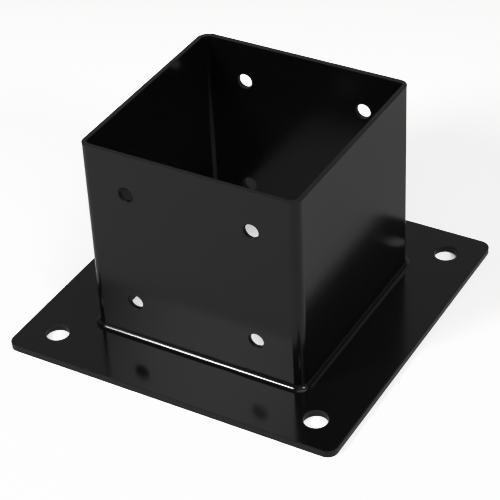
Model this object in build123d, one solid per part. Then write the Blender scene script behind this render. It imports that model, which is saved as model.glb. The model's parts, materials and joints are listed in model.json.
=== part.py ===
from build123d import *
import os

# Timber post base: a square steel sleeve for a timber post, welded on a bolt-down base plate.
# Millimetres, +Z up. The origin is the centre of the base plate's underside.
# +X runs along the front wall to the right, and +Y runs from the front wall to the back wall.

# Sleeve, folded from one strip of sheet
socket_side = 92.0          # clear width between opposite walls, for a 90 mm post
sleeve_height = 89.0
sheet_thickness = 2.0
bend_inner_radius = 2.0
rim_radius = 0.3            # the sheet's cut edges, as the coat rounds them

# Seam, where the strip's two ends meet at the back left corner
seam_setback = 0.5          # the seam weld stops this far below the rim

# Screw holes, four in the front wall and four in the back wall
screw_hole_diameter = 6.5
screw_side_distance = 20.2  # hole centre to the side of the sleeve
screw_end_distance = 18.3   # hole centre to the foot and to the rim

# Base plate
plate_overhang = 27.0       # how far the plate stands out beyond the sleeve
plate_thickness = 3.0
plate_corner_radius = 4.5
plate_edge_radius = 0.4     # the plate's cut edges, as the coat rounds them
anchor_hole_diameter = 10.0
anchor_edge_distance = 15.0  # hole centre to both nearest edges

# Every screw hole and anchor hole has its two rims bevelled
hole_rim_bevel = 0.3

# Fillet weld round the sleeve's foot
weld_leg = 2.6              # along the plate and up the wall alike
weld_hollow = 0.6           # how far the bead's face dips below a flat one

# Sizes that follow
sleeve_side = socket_side + 2 * sheet_thickness
bend_outer_radius = bend_inner_radius + sheet_thickness
rim_height = plate_thickness + sleeve_height
plate_side = sleeve_side + 2 * plate_overhang
screw_pitch_across = sleeve_side - 2 * screw_side_distance
screw_pitch_up = sleeve_height - 2 * screw_end_distance
anchor_pitch = plate_side - 2 * anchor_edge_distance


def square_bar(side, corner_radius, height):
    """A square bar with rounded corners, standing on the origin."""
    return extrude(RectangleRounded(side, side, corner_radius), height)


def edges_at(solid, height):
    """The edges of a solid that lie flat at one height."""
    return solid.edges().filter_by_position(Axis.Z, height, height)


def closed_ring():
    """The sleeve with its seam closed: a square ring of sheet on the plate, with its rim rounded."""
    outside = square_bar(sleeve_side, bend_outer_radius, sleeve_height)
    socket = square_bar(socket_side, bend_inner_radius, sleeve_height)
    ring = Pos(0, 0, plate_thickness) * (outside - socket)
    return fillet(edges_at(ring, rim_height), rim_radius)


def seam_corner(height):
    """The back left corner, as wide as a bend, from the plate up to a height."""
    corner = Pos(-sleeve_side / 2, sleeve_side / 2, plate_thickness)
    return corner * Box(bend_outer_radius, bend_outer_radius, height, align=(Align.MIN, Align.MAX, Align.MIN))


def bevel_hole_rims(solid):
    """Takes the sharp edge off both rims of every round hole."""
    return chamfer(solid.edges().filter_by(lambda edge: edge.is_closed), hole_rim_bevel)


def screw_drill():
    """Four bars along Y that cut the front wall and the back wall alike."""
    middle = Plane.XZ * Pos(0, plate_thickness + sleeve_height / 2)
    pattern = GridLocations(screw_pitch_across, screw_pitch_up, 2, 2)
    return middle * pattern * Cylinder(screw_hole_diameter / 2, 2 * sleeve_side)


def make_post_sleeve():
    """The folded strip: three bends, two ends that stop short of the seam, and the screw holes."""
    return bevel_hole_rims(closed_ring() - seam_corner(sleeve_height) - screw_drill())


def make_seam_weld():
    """The weld that fills the corner between the strip's ends, dressed to the shape of a bend."""
    return closed_ring() & seam_corner(sleeve_height - seam_setback)


def make_base_plate():
    """The plate: rounded corners and edges, an opening as wide as the socket, and four anchor holes."""
    plate = square_bar(plate_side, plate_corner_radius, plate_thickness)
    plate = fillet(edges_at(plate, plate_thickness), plate_edge_radius)
    plate -= square_bar(socket_side, bend_inner_radius, plate_thickness)
    plate = fillet(edges_at(plate, 0), plate_edge_radius)
    pattern = GridLocations(anchor_pitch, anchor_pitch, 2, 2)
    plate -= pattern * Cylinder(anchor_hole_diameter / 2, 3 * plate_thickness)
    return bevel_hole_rims(plate)


def make_foot_weld():
    """A slightly hollow bead of one section, carried once round the sleeve's foot."""
    foot = Pos(0, 0, plate_thickness) * RectangleRounded(sleeve_side, sleeve_side, bend_outer_radius)
    path = foot.face().outer_wire()
    start = path @ 0
    outward = (path % 0).cross(Vector(0, 0, 1))
    if outward.dot(start) < 0:
        outward = -outward
    section_plane = Plane(origin=start, x_dir=outward, z_dir=outward.cross(Vector(0, 0, 1)))
    root = (0, 0)
    wall_toe = (0, weld_leg)
    plate_toe = (weld_leg, 0)
    bead_face = SagittaArc(wall_toe, plate_toe, -weld_hollow)
    section = make_face([Line(plate_toe, root), Line(root, wall_toe), bead_face])
    return sweep(section_plane * section, path=path)


os.makedirs("parts", exist_ok=True)
export_step(make_base_plate(), "parts/base_plate.step")
export_step(make_post_sleeve(), "parts/post_sleeve.step")
export_step(make_seam_weld(), "parts/seam_weld.step")
export_step(make_foot_weld(), "parts/foot_weld.step")
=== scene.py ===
import json
import math

import bpy
from mathutils import Matrix, Vector

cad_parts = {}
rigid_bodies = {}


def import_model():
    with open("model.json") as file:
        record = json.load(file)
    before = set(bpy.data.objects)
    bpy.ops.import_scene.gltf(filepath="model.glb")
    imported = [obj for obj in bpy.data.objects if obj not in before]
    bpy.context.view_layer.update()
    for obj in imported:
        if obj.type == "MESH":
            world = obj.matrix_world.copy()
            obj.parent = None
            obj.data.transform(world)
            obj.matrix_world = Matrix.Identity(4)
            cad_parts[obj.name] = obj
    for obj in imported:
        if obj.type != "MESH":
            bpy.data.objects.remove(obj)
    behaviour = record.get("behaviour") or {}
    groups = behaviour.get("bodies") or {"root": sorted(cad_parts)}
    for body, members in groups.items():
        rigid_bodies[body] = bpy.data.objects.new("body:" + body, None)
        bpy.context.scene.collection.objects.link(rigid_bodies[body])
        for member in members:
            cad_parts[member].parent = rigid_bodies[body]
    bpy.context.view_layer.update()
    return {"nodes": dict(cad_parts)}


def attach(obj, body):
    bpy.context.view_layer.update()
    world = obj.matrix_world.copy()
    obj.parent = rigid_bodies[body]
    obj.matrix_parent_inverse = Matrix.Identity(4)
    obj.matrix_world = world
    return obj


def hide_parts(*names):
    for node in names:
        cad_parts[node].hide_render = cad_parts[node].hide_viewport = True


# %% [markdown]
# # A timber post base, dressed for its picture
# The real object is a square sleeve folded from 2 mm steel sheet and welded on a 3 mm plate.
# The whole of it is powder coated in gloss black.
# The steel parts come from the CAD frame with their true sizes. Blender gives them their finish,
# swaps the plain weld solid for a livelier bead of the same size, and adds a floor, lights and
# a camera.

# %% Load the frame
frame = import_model()
nodes = frame["nodes"]
print("CAD nodes:", sorted(nodes))

# %% [markdown]
# ## Units and helpers
# A maker thinks in millimetres and Blender works in metres here, so one constant joins the two.
# Colours are chosen as they look on a screen, as sRGB hex, and one function turns them linear,
# because a renderer adds up light and not screen values.

# %% Millimetres, colours and nodes
MM = 0.001


def linear(hex_colour):
    """A linear RGBA colour from an sRGB hex value such as '#0b0b0c'."""
    channels = [int(hex_colour[i : i + 2], 16) / 255 for i in (1, 3, 5)]
    return [c / 12.92 if c <= 0.04045 else ((c + 0.055) / 1.055) ** 2.4 for c in channels] + [1.0]


def add_node(tree, kind, links=None, **settings):
    """A new node. settings are its properties, and links feeds its inputs by name or number."""
    node = tree.nodes.new(kind)
    for name, value in settings.items():
        setattr(node, name, value)
    for key, value in (links or {}).items():
        if isinstance(value, bpy.types.NodeSocket):
            tree.links.new(value, node.inputs[key])
        else:
            node.inputs[key].default_value = value
    return node


def remap(tree, value, from_range, to_range):
    """Carries a value from one range to another and holds it at the ends."""
    inputs = {
        "Value": value,
        "From Min": from_range[0],
        "From Max": from_range[1],
        "To Min": to_range[0],
        "To Max": to_range[1],
    }
    return add_node(tree, "ShaderNodeMapRange", inputs).outputs["Result"]


print("1 mm is", MM, "m")

# %% Selections


def deselect_all():
    for other in bpy.context.view_layer.objects:
        other.select_set(False)


def select_points(piece, test):
    """Opens the piece in edit mode, with only those points selected whose place passes the test."""
    bpy.ops.object.mode_set(mode="EDIT")
    bpy.ops.mesh.select_mode(type="VERT")
    bpy.ops.mesh.select_all(action="DESELECT")
    bpy.ops.object.mode_set(mode="OBJECT")
    for point in piece.data.vertices:
        point.select = test(point.co)
    bpy.ops.object.mode_set(mode="EDIT")


deselect_all()
print("Selected objects:", len(bpy.context.selected_objects))

# %% [markdown]
# ## The finish: gloss black powder coat
# Polyester powder is sprayed on dry and baked, so it flows into a closed, glossy plastic skin.
# The eye gets almost no colour from it: the black shows only what it mirrors, a little softened.
# Three things tell it from glass. It has a faint orange peel, with swells a few millimetres apart
# that are microns high. The sheet under it is not quite flat, which bends long reflections.
# And molten powder draws back from a sharp edge, so on cut edges and hole rims the skin is thin
# and duller.
# The swells could be sculpted, but they are far too shallow for a mesh, so noise in a bump node
# is right.

# %% The coat's relief: slow swells and orange peel
PEEL_SPACING = 3.0 * MM
PEEL_HEIGHT = 0.006 * MM
SWELL_SPACING = 45 * MM
SWELL_HEIGHT = 0.05 * MM


def noise(tree, place, spacing, detail, roughness):
    """Soft noise whose swells lie about one spacing apart."""
    inputs = {"Vector": place, "Scale": 1 / spacing, "Detail": detail, "Roughness": roughness}
    return add_node(tree, "ShaderNodeTexNoise", inputs).outputs["Fac"]


def bump(tree, relief, height, below=None):
    """Turns a pattern into relief of that height. below is a bump that it lies on."""
    inputs = {"Height": relief, "Distance": height, "Strength": 1.0}
    if below is not None:
        inputs["Normal"] = below
    return add_node(tree, "ShaderNodeBump", inputs).outputs["Normal"]


def coat_relief(tree):
    """The coat's normal. Its patterns sit on Object coordinates, so they stay on the steel."""
    place = add_node(tree, "ShaderNodeTexCoord").outputs["Object"]
    swell = noise(tree, place, SWELL_SPACING, detail=1.0, roughness=0.4)
    peel = noise(tree, place, PEEL_SPACING, detail=2.0, roughness=0.5)
    return bump(tree, peel, PEEL_HEIGHT, below=bump(tree, swell, SWELL_HEIGHT))


print("Orange peel every", PEEL_SPACING / MM, "mm,", round(1000 * PEEL_HEIGHT / MM), "microns high")

# %% [markdown]
# ## Where the skin is thin
# The cut edges are told by their slope: on a folded box, all faces are level or upright, and only
# bevels and roundings lean. The slope is the upward part of the face's direction: 1 on level faces
# and 0 on upright ones. The weld leans too, but it is thick with powder, so it does without this.

# %% The coat's roughness
COAT_ROUGHNESS = 0.17
EDGE_ROUGHNESS = 0.6
LEVEL_ENDS = (0.99, 0.95)
UPRIGHT_ENDS = (0.05, 0.15)
NONE_TO_ALL = (0.0, 1.0)


def thin_edge_roughness(tree):
    """The roughness of the coat where its cut edges are thinly covered."""
    facing = add_node(tree, "ShaderNodeNewGeometry").outputs["True Normal"]
    rise = add_node(tree, "ShaderNodeSeparateXYZ", {"Vector": facing}).outputs["Z"]
    slope = add_node(tree, "ShaderNodeMath", {0: rise}, operation="ABSOLUTE").outputs["Value"]
    off_level = remap(tree, slope, LEVEL_ENDS, NONE_TO_ALL)
    off_upright = remap(tree, slope, UPRIGHT_ENDS, NONE_TO_ALL)
    both = {0: off_level, 1: off_upright}
    edge = add_node(tree, "ShaderNodeMath", both, operation="MULTIPLY").outputs["Value"]
    return remap(tree, edge, NONE_TO_ALL, (COAT_ROUGHNESS, EDGE_ROUGHNESS))


print("Roughness", COAT_ROUGHNESS, "on faces and", EDGE_ROUGHNESS, "on cut edges")

# %% [markdown]
# ## The coat's material
# Polyester has an index of refraction of about 1.5. The real walls mirror a little less than that
# gives, so it is set to 1.4.

# %% Gloss black powder coat
COAT_BLACK = linear("#0d0d0e")
COAT_IOR = 1.4


def gloss_black_powder_coat(name, thin_edges):
    """The coat, with thinly covered cut edges or without."""
    material = bpy.data.materials.new(name)
    material.use_nodes = True
    tree = material.node_tree
    tree.nodes.clear()
    coat = {
        "Base Color": COAT_BLACK,
        "Metallic": 0.0,
        "IOR": COAT_IOR,
        "Roughness": thin_edge_roughness(tree) if thin_edges else COAT_ROUGHNESS,
        "Normal": coat_relief(tree),
    }
    surface = add_node(tree, "ShaderNodeBsdfPrincipled", coat).outputs["BSDF"]
    add_node(tree, "ShaderNodeOutputMaterial", {"Surface": surface})
    return material


coat_material = gloss_black_powder_coat("gloss_black_powder_coat", True)
weld_material = gloss_black_powder_coat("gloss_black_powder_coat_on_weld", False)
for name, node in nodes.items():
    node.material_slots[0].material = coat_material
    print(name, "is finished in", node.material_slots[0].material.name)

# %% [markdown]
# ## The foot weld
# The sleeve is joined to the plate by one fillet weld run round its foot. Its face is slightly
# hollow, its toes run out smoothly into wall and plate under the coat, and its height wanders by a
# few hundredths of a millimetre, which a weld always does and which keeps the line of light along
# it alive.
# A bead could be a bevelled curve, but then its root would show as a tube. Here one section is
# drawn and swept: a square whose outer corner is bevelled inwards, run along the wall and spun
# round each corner.
# It sinks a little into the steel, so that no gap opens at its toes.

# %% The bead's section
WALL_FACE = 48.0
PLATE_TOP = 3.0
BEND_CENTRE = 44.0
BEAD_LEG = 2.6
BEAD_SUNK = 0.4
BEAD_PROFILE = 0.095
BEAD_FACETS = 12

section_side = BEAD_LEG + BEAD_SUNK
section_middle = section_side / 2 - BEAD_SUNK
deselect_all()
bpy.ops.mesh.primitive_plane_add(
    size=section_side * MM,
    location=(0, -(WALL_FACE + section_middle) * MM, (PLATE_TOP + section_middle) * MM),
    rotation=(0, math.pi / 2, 0),
)
bead = bpy.context.object
bead.name = "foot_weld_bead"
bpy.ops.object.transform_apply(location=True, rotation=True, scale=True)
select_points(bead, lambda place: place.y < -WALL_FACE * MM and place.z > PLATE_TOP * MM)
bpy.ops.mesh.bevel(
    offset=BEAD_LEG * MM, segments=BEAD_FACETS, profile=BEAD_PROFILE, affect="VERTICES"
)
bpy.ops.mesh.select_all(action="SELECT")
bpy.ops.mesh.delete(type="ONLY_FACE")
bpy.ops.object.mode_set(mode="OBJECT")
print("Section of", len(bead.data.vertices), "points")

# %% The bead, run round the foot
RUN_STEPS = 44
CORNER_STEPS = 12
QUARTER = math.pi / 2
MERGE_DISTANCE = 0.01 * MM

step = BEND_CENTRE / RUN_STEPS * MM
bpy.ops.object.mode_set(mode="EDIT")
bpy.ops.mesh.select_all(action="SELECT")
bpy.ops.mesh.extrude_repeat(steps=RUN_STEPS, offset=(step, 0, 0))
bpy.ops.mesh.spin(
    steps=CORNER_STEPS,
    angle=-QUARTER,
    center=(BEND_CENTRE * MM, -BEND_CENTRE * MM, 0),
    axis=(0, 0, 1),
)
bpy.ops.mesh.extrude_repeat(steps=RUN_STEPS, offset=(0, step, 0))
bpy.ops.mesh.select_all(action="SELECT")
for _ in range(3):
    bpy.ops.mesh.duplicate()
    bpy.ops.transform.rotate(value=QUARTER, orient_axis="Z", center_override=(0, 0, 0))
bpy.ops.mesh.select_all(action="SELECT")
bpy.ops.mesh.remove_doubles(threshold=MERGE_DISTANCE)
bpy.ops.mesh.normals_make_consistent(inside=False)
bpy.ops.object.mode_set(mode="OBJECT")
bead_size = [round(v / MM, 1) for v in bead.dimensions]
print("Bead of", len(bead.data.polygons), "faces, in mm", bead_size)

# %% The bead's wander, its shading and its finish
WANDER_SPACING = 14.0
WANDER_HEIGHT = 0.08
SMOOTH_ANGLE = math.radians(35)

wander = bpy.data.textures.new("bead_wander", "CLOUDS")
wander.noise_scale = WANDER_SPACING * MM
wander.noise_depth = 0
modifier = bead.modifiers.new("wander", "DISPLACE")
modifier.texture = wander
modifier.texture_coords = "LOCAL"
modifier.strength = WANDER_HEIGHT * MM
bpy.ops.object.modifier_apply(modifier=modifier.name)
bpy.ops.object.shade_smooth_by_angle(angle=SMOOTH_ANGLE)
bead.data.materials.append(weld_material)
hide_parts("foot_weld")
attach(bead, "root")
print("Bead rises to", round(max(point.co.z for point in bead.data.vertices) / MM, 2), "mm")

# %% [markdown]
# ## The floor
# The object stands on a plain pale studio floor. A black mirror shows what is round it, so the
# floor matters more than usual: the walls of the sleeve are grey in the picture because they
# mirror it. Paper is matt, so it is rough and has hardly any sheen.

# %% A pale floor
FLOOR_SIDE = 8.0
PAPER = {
    "Base Color": linear("#e8e8e7"),
    "Roughness": 0.9,
    "Specular IOR Level": 0.1,
}
deselect_all()
bpy.ops.mesh.primitive_plane_add(size=FLOOR_SIDE, location=(0, 0, 0))
floor = bpy.context.object
floor.name = "studio_floor"
floor_material = bpy.data.materials.new("matt_white_paper")
floor_material.use_nodes = True
floor_shader = floor_material.node_tree.nodes["Principled BSDF"]
for setting, value in PAPER.items():
    floor_shader.inputs[setting].default_value = value
floor.data.materials.append(floor_material)
print("Floor of", FLOOR_SIDE, "m")

# %% [markdown]
# ## The light
# A black gloss surface has no look of its own: every grey on it is a light, the floor or the room.
# So the lights follow from what the real walls mirror. A small bright softbox stands at the front
# left and draws the line along the weld, with a weak strip below it that fades into the wall's
# foot. At the right, a wide weak softbox lights that side's floor, and a small stronger one puts
# the dash of light on the weld's corner. One hangs overhead, and a large pale panel stands behind.
# Area lights are the right kind here, because a reflection shows a light's shape and size.

# %% Softboxes and panel
AIM = Vector((0, 0, 40 * MM))


def heading(azimuth, elevation):
    """A direction, with its azimuth counted from +X towards +Y, in degrees."""
    turn, rise = math.radians(azimuth), math.radians(elevation)
    level = math.cos(rise)
    return Vector((math.cos(turn) * level, math.sin(turn) * level, math.sin(rise)))


def softbox(name, azimuth, elevation, distance, width, height, radiance, shape="RECTANGLE"):
    """An area light that faces the object. radiance is how bright it looks, with 1 for white."""
    towards = heading(azimuth, elevation)
    place = AIM + towards * distance
    facing = towards.to_track_quat("Z", "Y").to_euler()
    bpy.ops.object.light_add(type="AREA", location=place, rotation=facing)
    light = bpy.context.object
    light.name = name
    light.data.shape = shape
    light.data.size = width
    light.data.size_y = height
    face = width * height * (math.pi / 4 if shape == "ELLIPSE" else 1.0)
    light.data.energy = radiance * math.pi * face
    print(name, "at", [round(v, 2) for v in place], "m,", round(light.data.energy, 2), "W")


# name, azimuth and elevation in degrees, distance, width and height in metres, radiance
deselect_all()
softbox("key_softbox", -118.5, 36.8, 0.80, 0.22, 0.22, 21.5, "ELLIPSE")
softbox("low_strip", -121, 22, 0.80, 0.16, 0.28, 3.0)
softbox("right_softbox", -25, 40, 1.50, 2.40, 2.00, 0.40)
softbox("right_small_softbox", -16, 30, 1.50, 0.42, 0.30, 11.0)
softbox("overhead_softbox", 0, 78, 0.80, 0.52, 0.52, 1.6, "ELLIPSE")
softbox("back_panel", 105, 31, 3.00, 4.50, 2.60, 0.28)

# %% [markdown]
# ## The light inside the sleeve
# The holes of the front wall look through to the paper inside the sleeve, and there it has to be
# bright. The softboxes hardly reach it, so a spot in a snoot shines straight down the sleeve.

# %% A snoot overhead
SNOOT_HEIGHT = 1.0
SNOOT_RADIUS = 0.02
SNOOT_REACH = 0.058
SNOOT_POWER = 6.0
SNOOT_BLEND = 0.2

bpy.ops.object.light_add(type="SPOT", location=(0, 0, SNOOT_HEIGHT))
snoot = bpy.context.object
snoot.name = "overhead_snoot"
snoot.data.energy = SNOOT_POWER
snoot.data.shadow_soft_size = SNOOT_RADIUS
snoot.data.spot_size = 2 * math.atan(SNOOT_REACH / SNOOT_HEIGHT)
snoot.data.spot_blend = SNOOT_BLEND
print("The snoot lights a circle", 2 * SNOOT_REACH / MM, "mm wide")

# %% [markdown]
# ## The room
# A studio is dim round its lights, and palest low down, where the far floor and the walls' foot
# catch light. The rounded corners of the object mirror that.

# %% A dim room, palest at the horizon
ROOM_RADIANCE = 0.03
HORIZON_RADIANCE = 0.15
HORIZON_TO_ROOM = (0.0, 0.6)

world = bpy.data.worlds.new("studio_room")
bpy.context.scene.world = world
world.use_nodes = True
room = world.node_tree
room.nodes.clear()
towards_sky = add_node(room, "ShaderNodeTexCoord").outputs["Generated"]
height = add_node(room, "ShaderNodeSeparateXYZ", {"Vector": towards_sky}).outputs["Z"]
radiance = remap(room, height, HORIZON_TO_ROOM, (HORIZON_RADIANCE, ROOM_RADIANCE))
glow = {"Color": linear("#ffffff"), "Strength": radiance}
background = add_node(room, "ShaderNodeBackground", glow).outputs["Background"]
add_node(room, "ShaderNodeOutputWorld", {"Surface": background})
print("Radiance", HORIZON_RADIANCE, "at the horizon and", ROOM_RADIANCE, "above")

# %% [markdown]
# ## The camera
# It looks down on the front and right side of the object from about 0.8 m, with a long lens, so
# that upright edges stay nearly parallel.

# %% The camera at the photograph's angle
CAMERA_PLACE = (0.3193, -0.5327, 0.4785)
CAMERA_YAW = math.radians(31.08)
CAMERA_TILT = math.radians(36.14)
CAMERA_ROLL = math.radians(-2.95)
CAMERA_LENS = 133.9
SENSOR_WIDTH = 36.0

turn = (
    Matrix.Rotation(CAMERA_YAW, 3, "Z")
    @ Matrix.Rotation(math.pi / 2 - CAMERA_TILT, 3, "X")
    @ Matrix.Rotation(CAMERA_ROLL, 3, "Z")
)
deselect_all()
bpy.ops.object.camera_add(location=CAMERA_PLACE, rotation=turn.to_euler())
camera = bpy.context.object
camera.name = "photo_camera"
camera.data.sensor_width = SENSOR_WIDTH
camera.data.lens = CAMERA_LENS
bpy.context.scene.camera = camera
print("Camera at", CAMERA_PLACE, "with a lens of", CAMERA_LENS, "mm")

# %% [markdown]
# ## The print
# A product picture is printed with its levels lifted until the paper behind the object is nearly
# white. The same is done here with one curve over the linear light: the darks keep their values,
# and what is brighter than a dark grey rises.

# %% Levels
LEVELS = ((0.07, 0.07), (0.24, 0.8), (0.45, 0.98))
COMBINED_CURVE = 3

picture = bpy.context.scene.view_settings
picture.view_transform = "Standard"
picture.use_curve_mapping = True
all_channels = picture.curve_mapping.curves[COMBINED_CURVE]
for scene_light, shown in LEVELS:
    all_channels.points.new(scene_light, shown)
for point in all_channels.points:
    point.handle_type = "VECTOR"
picture.curve_mapping.update()
print("Levels", LEVELS)
